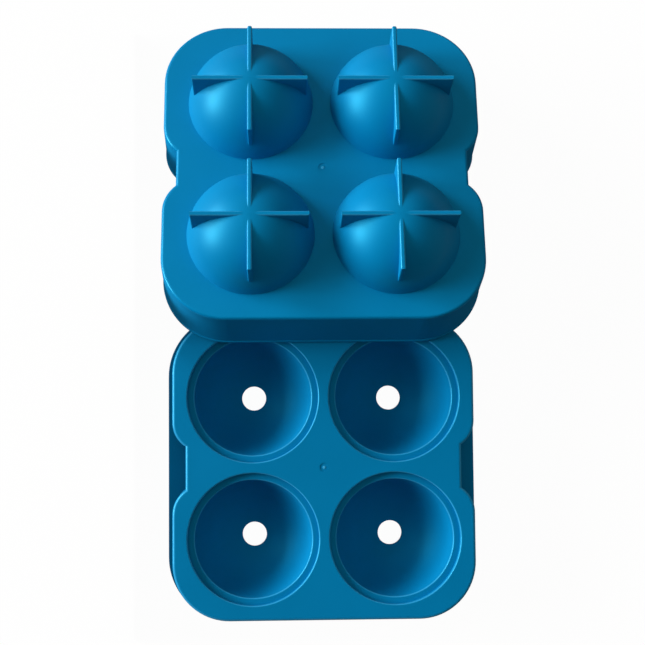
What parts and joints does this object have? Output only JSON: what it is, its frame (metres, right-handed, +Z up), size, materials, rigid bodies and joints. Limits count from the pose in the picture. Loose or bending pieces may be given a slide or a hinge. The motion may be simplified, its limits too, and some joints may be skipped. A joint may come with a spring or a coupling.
{
  "type": "ice ball mold",
  "caption": "Two-part moulded ice ball mould: a base tray of round cups with crossed fins as feet, and a fill lid with domed cavities and a fill hole in each.",
  "frame": {"origin": "on the table, under the middle of the two halves together", "axes": "+Z up, +Y from the lid towards the tray that leans on it, +X to the right across both halves"},
  "size_m": [0.1272, 0.2412, 0.0709],
  "materials": {
    "tray_plastic": "satin",
    "lid_plastic": "satin"
  },
  "bodies": {
    "root": {"base_tray": "tray_plastic", "fill_lid": "lid_plastic"}
  },
  "joints": []
}
